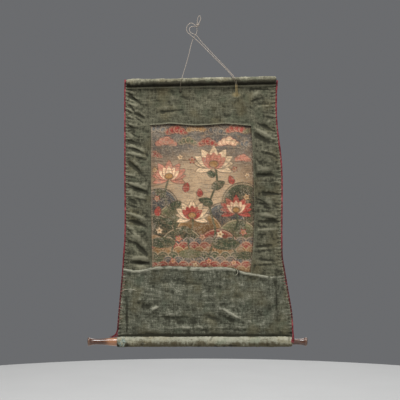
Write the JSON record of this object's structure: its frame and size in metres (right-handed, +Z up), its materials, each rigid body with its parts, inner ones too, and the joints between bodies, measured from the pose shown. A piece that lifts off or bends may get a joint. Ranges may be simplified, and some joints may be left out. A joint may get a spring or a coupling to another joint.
{
  "type": "thangka scroll painting with wooden dowel and hanging cord",
  "caption": "Hanging scroll painting in an olive cloth mount with red bound edges, a rolled heading, a turned wooden dowel in a casing along the bottom and a knotted hanging cord.",
  "frame": {"origin": "where the cord's loop bears on the nail that holds the scroll up", "axes": "+Z up, +X to the right of someone looking at the painted face, -Y out of the painted face"},
  "size_m": [0.547, 0.026, 0.8276],
  "materials": {
    "mount_cloth": "faded olive cotton, coarse plain weave, matt",
    "rolled_cloth": "faded olive cotton, worn pale along the top, matt",
    "painted_cloth": "mineral paint on sized cotton, worn and cracked, matt",
    "red_binding": "faded red cotton, rolled and overcast",
    "dowel_wood": "turned wood with an old copper brown lacquer, satin",
    "cord_yarn": "twisted grey brown cotton yarn"
  },
  "bodies": {
    "root": {"top_panel": "mount_cloth", "left_side_panel": "mount_cloth", "right_side_panel": "mount_cloth", "bottom_panel": "mount_cloth", "painting_panel": "painted_cloth", "heading_roll": "rolled_cloth", "bottom_casing": "rolled_cloth", "dowel": "dowel_wood", "left_edge_binding": "red_binding", "right_edge_binding": "red_binding", "hanging_cord": "cord_yarn", "return_cord": "cord_yarn"}
  },
  "joints": []
}
